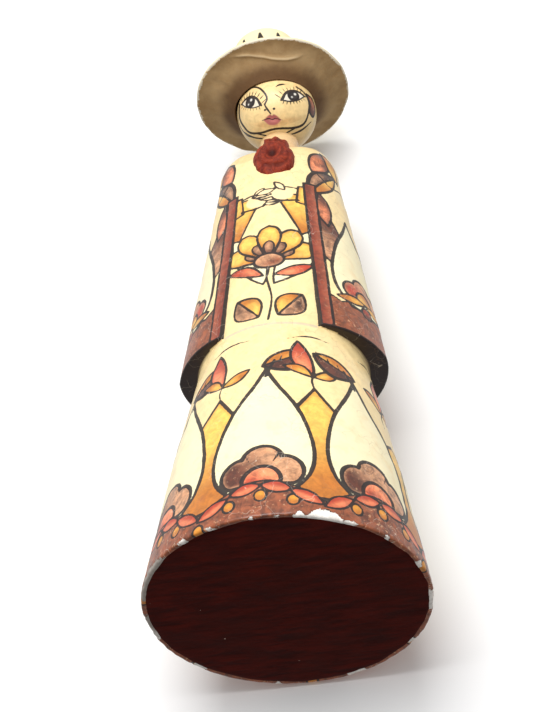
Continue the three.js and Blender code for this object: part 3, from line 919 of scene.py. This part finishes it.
def make_jacket():
    azimuth, radius, z = jacket_grid()
    shape = azimuth.shape
    azimuth, radius, z = azimuth.ravel(), radius.ravel(), z.ravel()
    flat = around(azimuth, radius, z)
    free = smoothstep(z, HEM_Z + 0.5, HEM_Z + 5) * (1 - smoothstep(z, 222, 228))
    swell = (0.2 * lumps(flat, 24, 13) + 0.08 * lumps(flat, 6, 14)) * free
    points = around(azimuth, radius + swell, z)
    points[:, 1] += setback_at(z)

    canvas = Canvas(azimuth, z, radius, GROUND)
    paint_jacket(canvas)
    paint_front(canvas)
    paint_chest(canvas)
    paint_bands(canvas)
    rough_edge = np.where(np.abs(wrapped(azimuth)) > opening_at(z), z - HEM_Z - 0.9, canvas.FAR)
    canvas.ink = np.minimum(canvas.ink, rough_edge)
    # The neck is painted skin colour a little darker than the face: painted shade under the head.
    neck = smoothstep(z, 226, 228)
    canvas.colour = lerp(canvas.colour, linear(NECK_SHADED_SKIN), neck[:, None])
    piece = mesh_piece("jacket", leaned(points), grid_faces(*shape), canvas.attributes())
    piece.data.materials.append(painted_material("painted_jacket"))
    return piece


# ---- head ----

FACE_AZIMUTH, FACE_ELEVATION = 0.0, -28.0


def ball_directions(azimuth, elevation):
    a, e = np.radians(azimuth), np.radians(elevation)
    return np.stack([np.sin(a) * np.cos(e), -np.cos(a) * np.cos(e), np.sin(e) + 0 * a], -1)


def on_face(directions):
    """Distances in millimetres across the ball from the middle of the face, rightwards and upwards."""
    ahead = ball_directions(FACE_AZIMUTH, FACE_ELEVATION)
    up = ball_directions(FACE_AZIMUTH, FACE_ELEVATION + 90)
    right = np.cross(ahead, up)
    x, y, depth = directions @ right, directions @ up, directions @ ahead
    reach = np.arctan2(np.hypot(x, y), depth) / np.maximum(np.hypot(x, y), 1e-9) * HEAD_RADIUS
    return x * reach, y * reach


def face_points(places, steps=7):
    """A smooth line through places given as azimuth and elevation on the ball."""
    a, e = np.array(places, float).T
    return spline(np.stack(on_face(ball_directions(a, e)), 1), steps)


def paint_eye(canvas, centre, turn, flip):
    """An almond eye with a round iris, a heavy upper lid and lashes."""
    upper = spline([(-5.8, -0.6), (-3.2, 1.7), (0, 2.6), (3.0, 1.8), (5.6, -0.9)])
    lower = spline([(5.6, -0.9), (2.4, -2.2), (-1.6, -2.2), (-5.8, -0.6)])
    canvas.fill(
        np.concatenate([upper, lower]), centre, (240, 228, 206), turn=turn, flip=flip, wash=0.0, line=0.6
    )
    iris = (centre[0], centre[1] + 0.2)
    canvas.fill(oval(5.0, 4.8), iris, (30, 22, 20), turn=turn, flip=flip, wash=0.0, line=0.8)
    canvas.fill(oval(3.4, 3.2), iris, (70, 62, 58), (38, 30, 28), 60, turn, flip, 0.1, 0)
    for spot, size in (((-0.8, 0.9), 1.15), ((0.9, -0.8), 0.7)):
        light = (iris[0] + spot[0], iris[1] + spot[1])
        canvas.fill(oval(size, size), light, (244, 240, 230), wash=0.0, line=0)
    canvas.stroke(
        spline([(-6.4, -0.6), (-3.2, 2.2), (0, 3.1), (3.2, 2.2), (6.2, -0.6)]), centre, 0.95, turn, flip
    )
    for k in range(9):
        x = lerp(-5.6, 5.8, k / 8)
        y = 2.9 - 0.085 * x * x
        canvas.stroke([(x, y), (x * 1.42 - 0.3, y + 3.0)], centre, 0.42, turn, flip, 0.7)
    for k in range(8):
        x = lerp(-4.4, 5.0, k / 7)
        y = -2.2 + 0.05 * x * x
        canvas.stroke([(x, y), (x * 1.25, y - 1.7)], centre, 0.38, turn, flip, 0.7)


class FaceCanvas(Canvas):
    """Paint in the flat coordinates of the face."""

    def near(self, outline, place, turn, flip):
        x = (self.azimuth - place[0]) * flip
        y = self.height - place[1]
        reach = np.abs(outline).max() * 1.5 + self.FAR
        found = np.nonzero((np.abs(x) < reach) & (np.abs(y) < reach))[0]
        c, s = math.cos(math.radians(turn)), math.sin(math.radians(turn))
        x, y = x[found], y[found]
        return found, x * c + y * s, y * c - x * s


def paint_face(canvas):
    origin = (0.0, 0.0)
    jaw = [
        (40, 2), (54, -2), (66, -14), (75, -38), (68, -56), (0, -69), (-60, -61), (-77, -42), (-71, -20),
        (-58, -2)
    ]
    hair_right = face_points([(58, 0), (68, -12), (73, -24), (86, -22), (84, -8), (72, 2)])
    canvas.fill(hair_right, origin, (176, 104, 70), (108, 52, 32), 300, wash=0.8, line=1.2)
    # Painted shade along the jaw and under the chin, darker towards the bottom of the ball.
    jaw_shade = face_points(
        [(-62, -36), (-40, -58), (0, -66), (44, -58), (66, -38), (30, -44), (0, -60), (-30, -46)]
    )
    canvas.fill(jaw_shade, origin, FACE_SHADE, FACE, 90, wash=0.3, line=0)
    canvas.stroke(face_points(jaw), origin, 1.1)
    canvas.stroke(face_points([(-60, 0), (-72, -20), (-77, -40)]), origin, 1.7, taper=0.3)
    canvas.stroke(face_points([(-66, 2), (-82, -16), (-90, -36), (-84, -54)]), origin, 0.9, taper=0.4)
    eye_left = np.array(on_face(ball_directions(-35, -18)))
    eye_right = np.array(on_face(ball_directions(36, -17)))
    paint_eye(canvas, eye_left, -22, -1)
    paint_eye(canvas, eye_right, -14, 1)
    canvas.stroke(face_points([(-42, 8), (-30, 8), (-17, 0), (-8, -14), (-6, -24), (-11, -31)]), origin, 0.85)
    canvas.stroke(face_points([(-12, -30), (-9, -38), (-4, -46)]), origin, 0.8, taper=0.3)
    canvas.stroke(face_points([(9, -5), (15, -1), (24, 2)]), origin, 1.1, taper=0.7)
    for azimuth, elevation in ((-13, -39), (4, -40)):
        centre = np.array(on_face(ball_directions(azimuth, elevation)))
        canvas.fill(oval(0.8, 0.6), centre, INK, wash=0.0, line=0.3)
    mouth = np.array(on_face(ball_directions(-3, -54.5)))
    upper = spline([(-4.4, -0.4), (-2.4, 1.5), (-0.9, 2.3), (0, 1.8), (0.9, 2.3), (2.4, 1.4), (4.4, -0.2)])
    lower = spline([(4.4, -0.2), (2.2, -2.3), (0, -2.8), (-2.2, -2.4), (-4.4, -0.4)])
    canvas.fill(
        np.concatenate([upper, lower]) * 0.92, mouth, (222, 140, 136), (166, 88, 84), 90, 6, wash=0.3, line=0
    )
    canvas.stroke(
        spline([(-4.6, -0.4), (-1.6, 0.3), (0, -0.1), (1.6, 0.4), (4.6, -0.2)]), mouth, 0.45, 6, taper=0.5
    )
    for side in (-1, 1):
        lock = face_points([(side * 72, -50), (side * 60, -66), (side * 34, -80)])
        canvas.stroke(lock, origin, 0.8, taper=0.5)
        lock = face_points([(side * 88, -30), (side * 84, -54), (side * 66, -76)])
        canvas.stroke(lock, origin, 0.9, taper=0.5)


def make_head():
    columns, rows = 400, 200
    azimuth = np.arange(columns) * FULL_TURN / columns
    elevation = np.linspace(-90, 90, rows + 2)[1:-1, None]
    directions = ball_directions(azimuth[None, :] + 0 * elevation, elevation + 0 * azimuth).reshape(-1, 3)
    directions = np.concatenate([directions, [[0, 0, -1], [0, 0, 1]]])
    centre = np.array([0, 0, HEAD_Z])
    points = centre + directions * (HEAD_RADIUS - 0.08 + 0.07 * lumps(directions * HEAD_RADIUS, 9, 31))[
        :, None
    ]
    x, y = on_face(directions)
    canvas = FaceCanvas(x, y, np.full(x.shape, HEAD_RADIUS), FACE, 0.25)
    paint_face(canvas)
    faces = grid_faces(rows, columns, first_pole=rows * columns, last_pole=rows * columns + 1)
    piece = mesh_piece("head_ball", leaned(points), faces, canvas.attributes())
    piece.data.materials.append(
        painted_material("painted_face", crackle=0.15, scratches=0.0, coat=0.25, bold=0.24)
    )
    return piece


# ---- hat ----

HAT_COLUMNS = 300
CROWN_PETALS = 11


def hat_profile():
    """Radius, height above the head's centre and which side of the paper, from the hollow's top to the crown's."""
    cavity = HEAD_RADIUS + 0.3
    contact = math.asin(BROW_RISE / cavity)
    inside = [
        (cavity * math.cos(t), cavity * math.sin(t), 1) for t in np.linspace(math.pi / 2, contact, 14)[1:-1]
    ]
    inset = BRIM_THICKNESS / 2

    def underside(radius):
        out = np.clip((radius - HEAD_RADIUS) / (BRIM_RADIUS - inset - HEAD_RADIUS), 0, 1)
        return lerp(BROW_RISE, RIM_RISE, np.sin(out * math.pi / 2))

    radii = np.linspace(cavity, BRIM_RADIUS - inset, 60)
    below = [(r, float(underside(r)), 1) for r in radii]
    rim = [
        (
            BRIM_RADIUS - inset + inset * math.sin(t), RIM_RISE + inset - inset * math.cos(t),
            1 if t < 1.2 else 0
        )
        for t in np.linspace(0, math.pi, 12)[1:-1]
    ]
    above = [(r, float(underside(r)) + BRIM_THICKNESS, 0) for r in radii[::-1] if r > CROWN_BASE + 0.4]
    top = TOTAL_HEIGHT - HEAD_Z - 0.1
    foot_z = above[-1][1]
    wall = spline(
        [
            (CROWN_BASE + 0.2, foot_z + 0.7), (CROWN_TOP + 1.6, lerp(foot_z, top, 0.55)),
            (CROWN_TOP, top - CROWN_EDGE - 0.6)
        ],
        18
    )
    wall = [(r, z, 0) for r, z in wall]
    edge_steps = np.radians(np.linspace(0, 85, 12))
    edge = [
        (CROWN_TOP - CROWN_EDGE + CROWN_EDGE * math.cos(t), top - CROWN_EDGE + CROWN_EDGE * math.sin(t), 0)
        for t in edge_steps
    ]
    lid = [(r, top + 0.4 * (1 - r / CROWN_TOP), 0) for r in np.linspace(CROWN_TOP - CROWN_EDGE, 0, 16)[1:-1]]
    return np.array(inside + below + rim + above + wall + edge + lid), top + 0.4


def place_on_head(points):
    """Tilts the hat and sets it on the head."""
    side, ahead = math.radians(-HAT_TILT_SIDEWAYS), math.radians(HAT_TILT_FORWARDS)
    x, y, z = points.T
    x, z = x * math.cos(side) + z * math.sin(side), z * math.cos(side) - x * math.sin(side)
    y, z = y * math.cos(ahead) - z * math.sin(ahead), z * math.cos(ahead) + y * math.sin(ahead)
    return np.stack([x - HAT_SHIFT, y, z + HEAD_Z], 1)


def make_hat():
    profile, top = hat_profile()
    azimuth = np.arange(HAT_COLUMNS) * FULL_TURN / HAT_COLUMNS
    radius = profile[:, :1] + 0 * azimuth
    z = profile[:, 1:2] + 0 * azimuth
    under = profile[:, 2:] + 0 * azimuth
    shape = radius.shape
    azimuth = azimuth + 0 * radius
    flat = around(azimuth, radius, z).reshape(-1, 3)
    brim = smoothstep(radius, HEAD_RADIUS + 1, HEAD_RADIUS + 8).ravel()
    wave = 0.2 * lumps(flat * (1, 1, 0), 34, 41) * brim
    turn = np.radians(azimuth).ravel()
    spokes = np.stack([40 * np.sin(turn), 40 * np.cos(turn), radius.ravel() / 3], 1)
    wrinkle = (0.13 * lumps(flat * (1, 1, 0), 7, 42) + 0.13 * lumps(spokes, 7, 44)) * brim
    crease_y = -24.5 + 3.2 * np.sin((flat[:, 0] - 4) / 9)
    crease = np.exp(-(((flat[:, 1] - crease_y) / 0.7) ** 2)) * smoothstep(np.abs(flat[:, 0] - 2), 17, 10)
    lift = (wave + wrinkle - 0.9 * crease * under.ravel()) * (profile[:, 0] > HEAD_RADIUS + 0.6).repeat(
        HAT_COLUMNS
    )
    ragged = 0.12 * lumps(flat * (1, 1, 0), 9, 43) * smoothstep(
        radius.ravel(), BRIM_RADIUS - 2.5, BRIM_RADIUS - 0.5
    )
    points = around(azimuth.ravel(), radius.ravel() + ragged, z.ravel() + lift * 0.8)
    points = np.concatenate([points, [[0, 0, HEAD_RADIUS + 0.3], [0, 0, top]]])

    canvas = Canvas(azimuth.ravel(), z.ravel(), radius.ravel(), HAT_PAINT)
    tip = TOTAL_HEIGHT - HEAD_Z - 5.0
    for i in range(CROWN_PETALS):
        place = (i * FULL_TURN / CROWN_PETALS, tip)
        petal = np.array([(-3.4, -15), (0, 0), (3.4, -15)], float)
        crown_only = canvas.ink.copy()
        canvas.fill(petal, place, OCHRE, BROWN_DARK, 90, wash=0.5, line=1.0, share=0.62)
        canvas.ink = np.where(
            (canvas.radius < CROWN_BASE + 1) & (under.ravel() < 0.5), canvas.ink, crown_only
        )
    # Painted shade and stains on the underside, darkest next to the head.
    shade_and_stain = (1 - smoothstep(radius.ravel(), HEAD_RADIUS, HEAD_RADIUS + 12)) * under.ravel()
    # The crease's ridge carries a painted highlight.
    attributes = {
        **canvas.attributes(), "under": 2 * under.ravel() - 1, "shade_and_stain": shade_and_stain, "crease_highlight": crease * under.ravel(
            
        ),
        "rim": radius.ravel() - BRIM_RADIUS,
    }
    poles = {
        "paint": [linear(HAT_PAINT)] * 2, "ink": [6, 6], "wash": [0, 0], "under": [1, -1], "shade_and_stain": [0, 0],
        "crease_highlight": [0, 0], "rim": [-9, -9],
    }
    attributes = {
        key: np.concatenate([values, np.array(poles[key], float)]) for key, values in attributes.items()
    }
    faces = grid_faces(*shape, first_pole=len(points) - 2, last_pole=len(points) - 1)
    piece = mesh_piece("sun_hat", leaned(place_on_head(points)), faces, attributes)
    piece.data.materials.append(hat_material())
    return piece


# ---- neckerchief ----


def knot_points(columns=220, rows=150):
    """A crumpled lump: folded rings round a hollow in its face, with painted shade in the folds and the hollow."""
    turn = np.arange(columns) * 2 * math.pi / columns
    lift = np.linspace(-math.pi / 2, math.pi / 2, rows + 2)[1:-1, None]
    across = (np.cos(lift) * np.sin(turn)).ravel()
    out = (np.cos(lift) * np.cos(turn)).ravel()
    up = (np.sin(lift) + 0 * turn).ravel()
    across, out, up = (
        np.concatenate([v, pole]) for v, pole in ((across, (0, 0)), (out, (0, 0)), (up, (-1, 1)))
    )
    unit = np.stack([across, out, up], 1)
    from_hollow = np.hypot(across, up - 0.22)
    around_hollow = np.arctan2(across, up - 0.22)
    facing = np.maximum(out, 0)
    hollow = 0.45 * np.exp(-((from_hollow / 0.36) ** 2)) * facing
    spiral = np.sin(3.1 * from_hollow * 2 * math.pi + 1.2 * around_hollow + 1.4 * lumps(unit * 9, 9, 51))
    ruffle = 0.028 * spiral * smoothstep(from_hollow, 0.12, 0.5)
    crumple = 0.06 * (0.5 - np.abs(lumps(unit * 9, 9, 52))) + 0.04 * (0.5 - np.abs(lumps(unit * 9, 4.5, 53)))
    grow = 1 + ruffle * (0.4 + 0.6 * facing) + crumple
    narrow = 1 - KNOT_TAPER * up * np.abs(up) ** 0.5
    wide, deep, tall = KNOT_HALF
    x, y, z = wide * across * narrow * grow, -deep * (out * grow - hollow), tall * up * grow
    tilt = math.radians(KNOT_TILT)
    y, z = y * math.cos(tilt) - z * math.sin(tilt), y * math.sin(tilt) + z * math.cos(tilt)
    points = np.stack([x, y, z], 1) + KNOT_PLACE
    # Painted shade: darker in the folds' grooves and in the hollow.
    fold_shade = np.clip(0.5 - 0.5 * spiral * smoothstep(from_hollow, 0.1, 0.4) - 6 * crumple, 0, 1) * 0.6
    fold_shade = np.maximum(fold_shade, np.exp(-((from_hollow / 0.3) ** 2)) * facing)
    return points, grid_faces(rows, columns, rows * columns, rows * columns + 1), fold_shade


def tie_points(columns=90, rows=60):
    turn = np.arange(columns) * 2 * math.pi / columns
    lift = np.linspace(-math.pi / 2, math.pi / 2, rows + 2)[1:-1, None]
    unit = np.stack([np.cos(lift) * np.sin(turn), -np.cos(lift) * np.cos(turn), np.sin(lift) + 0 * turn], -1)
    unit = np.concatenate([unit.reshape(-1, 3), [[0, 0, -1], [0, 0, 1]]])
    pleat = 0.07 * np.sin(unit[:, 0] * 9 + 1.2 * unit[:, 2])
    points = unit * TIE_HALF * (1 + pleat + 0.05 * lumps(unit * 8, 4, 61))[:, None]
    tilt = math.radians(-TIE_TILT)
    x, y, z = points.T
    points = np.stack(
        [x, y * math.cos(tilt) - z * math.sin(tilt), y * math.sin(tilt) + z * math.cos(tilt)], 1
    )
    # Painted shade in the pleats.
    fold_shade = np.clip(0.5 - 6 * pleat, 0, 1) * 0.6
    return points + TIE_PLACE, grid_faces(rows, columns, rows * columns, rows * columns + 1), fold_shade


def band_points(columns=120, rows=16):
    azimuth = np.arange(columns) * FULL_TURN / columns
    turn = np.arange(rows)[:, None] * 2 * math.pi / rows
    radius = BAND_RADIUS + BAND_HALF_WIDTH * np.cos(turn) + 0 * azimuth
    z = BAND_Z + BAND_HALF_HEIGHT * np.sin(turn) + 0 * azimuth
    points = around(azimuth + 0 * radius, radius, z).reshape(-1, 3)
    points += 0.12 * lumps(points, 4, 71)[:, None]
    points[:, 1] += setback_at(BAND_Z)
    index = np.arange(rows * columns).reshape(rows, columns)
    right, below = np.roll(index, -1, 1), np.roll(index, -1, 0)
    faces = np.stack([index, right, np.roll(below, -1, 1), below], -1).reshape(-1, 4).tolist()
    # The band is painted evenly a little darker, with the same painted shade.
    return points, faces, np.full(len(points), 0.45)


def make_neckerchief():
    parts = [knot_points(), tie_points(), band_points()]
    points, faces, fold_shades, start = [], [], [], 0
    for part_points, part_faces, fold_shade in parts:
        points.append(part_points)
        faces += [[start + i for i in face] for face in part_faces]
        fold_shades.append(fold_shade)
        start += len(part_points)
    piece = mesh_piece(
        "red_neckerchief", leaned(np.concatenate(points)), faces, {"fold_shade": np.concatenate(fold_shades)}
    )
    piece.data.materials.append(kerchief_material())
    return piece


# ---- camera, stage and light ----

CAMERA_TARGET = (3.06, -43.3, 79.3)
CAMERA_AZIMUTH, CAMERA_ELEVATION, CAMERA_ROLL = 10.5, -41.45, -0.52
CAMERA_DISTANCE = 800.0
FOCAL_LENGTH = 111.24
SKY_BELOW, SKY_ABOVE = 0.34, 0.8
KEY_POWER = 26


def direction(azimuth, elevation):
    return Vector(ball_directions(azimuth, elevation))


def make_camera():
    data = bpy.data.cameras.new("camera")
    data.lens = FOCAL_LENGTH
    data.clip_start, data.clip_end = 0.01, 20
    camera = bpy.data.objects.new("camera", data)
    back = direction(CAMERA_AZIMUTH, CAMERA_ELEVATION)
    camera.location = Vector(CAMERA_TARGET) * MM + back * CAMERA_DISTANCE * MM
    camera.rotation_mode = "QUATERNION"
    roll = Quaternion((0, 0, 1), math.radians(CAMERA_ROLL))
    camera.rotation_quaternion = (-back).to_track_quat("-Z", "Y") @ roll
    bpy.context.scene.collection.objects.link(camera)
    bpy.context.scene.camera = camera


def stage_material():
    """Pale and matt, and seen from its front only, so that it never hides the figure from behind."""
    material = bpy.data.materials.new("stage")
    material.use_nodes = True
    tree = material.node_tree
    shader = tree.nodes["Principled BSDF"]
    shader.inputs["Base Color"].default_value = (0.86, 0.86, 0.86, 1)
    shader.inputs["Roughness"].default_value = 0.8
    clear = tree.nodes.new("ShaderNodeBsdfTransparent")
    side = tree.nodes.new("ShaderNodeNewGeometry")
    mix = tree.nodes.new("ShaderNodeMixShader")
    tree.links.new(side.outputs["Backfacing"], mix.inputs[0])
    tree.links.new(shader.outputs[0], mix.inputs[1])
    tree.links.new(clear.outputs[0], mix.inputs[2])
    tree.links.new(mix.outputs[0], tree.nodes["Material Output"].inputs[0])
    return material


def make_plane(name, centre, normal, size, material):
    half = size / 2
    mesh = bpy.data.meshes.new(name)
    mesh.from_pydata(
        [(-half, -half, 0), (half, -half, 0), (half, half, 0), (-half, half, 0)], [], [(0, 1, 2, 3)]
    )
    plane = bpy.data.objects.new(name, mesh)
    plane.location = centre
    plane.rotation_mode = "QUATERNION"
    plane.rotation_quaternion = Vector(normal).to_track_quat("Z", "Y")
    plane.data.materials.append(material)
    for seen_by in ("visible_diffuse", "visible_glossy", "visible_transmission", "visible_shadow"):
        setattr(plane, seen_by, False)
    bpy.context.scene.collection.objects.link(plane)
    return plane


def make_area_light(name, place, target, size, power):
    data = bpy.data.lights.new(name, "AREA")
    data.size = size
    data.energy = power
    light = bpy.data.objects.new(name, data)
    light.location = place
    light.rotation_mode = "QUATERNION"
    light.rotation_quaternion = (Vector(target) - Vector(place)).to_track_quat("-Z", "Y")
    bpy.context.scene.collection.objects.link(light)


def make_stage():
    """A pale floor under the figure, a pale sheet behind it and soft light from its front."""
    scene = bpy.context.scene
    scene.view_settings.view_transform = "Standard"
    world = bpy.data.worlds.new("world")
    world.use_nodes = True
    tree = world.node_tree
    place = tree.nodes.new("ShaderNodeTexCoord")
    height = tree.nodes.new("ShaderNodeSeparateXYZ")
    level = tree.nodes.new("ShaderNodeMapRange")
    tree.links.new(place.outputs["Generated"], height.inputs[0])
    tree.links.new(height.outputs["Z"], level.inputs["Value"])
    for key, value in (("From Min", -0.7), ("From Max", 0.5), ("To Min", SKY_BELOW), ("To Max", SKY_ABOVE)):
        level.inputs[key].default_value = value
    tree.links.new(level.outputs[0], tree.nodes["Background"].inputs["Strength"])
    tree.nodes["Background"].inputs["Color"].default_value = (1, 1, 1, 1)
    scene.world = world
    material = stage_material()
    make_plane("floor", (0, 0, -0.0005), (0, 0, 1), 4.0, material)
    make_plane("backdrop", (0, 0.0535, 0), (0, -1, -0.077), 4.0, material)
    make_area_light("key", (-0.1, -1.5, 0.35), (0, 0, 0.12), 1.1, KEY_POWER)


make_camera()
pieces = {
    "body": [make_skirt(), make_base_disc(), make_jacket()],
    "head": [make_head()],
    "hat": [make_hat()],
    "neckerchief": [make_neckerchief()],
}
for node, made in pieces.items():
    for piece in made:
        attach(piece, "root")
        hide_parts(node)
make_stage()
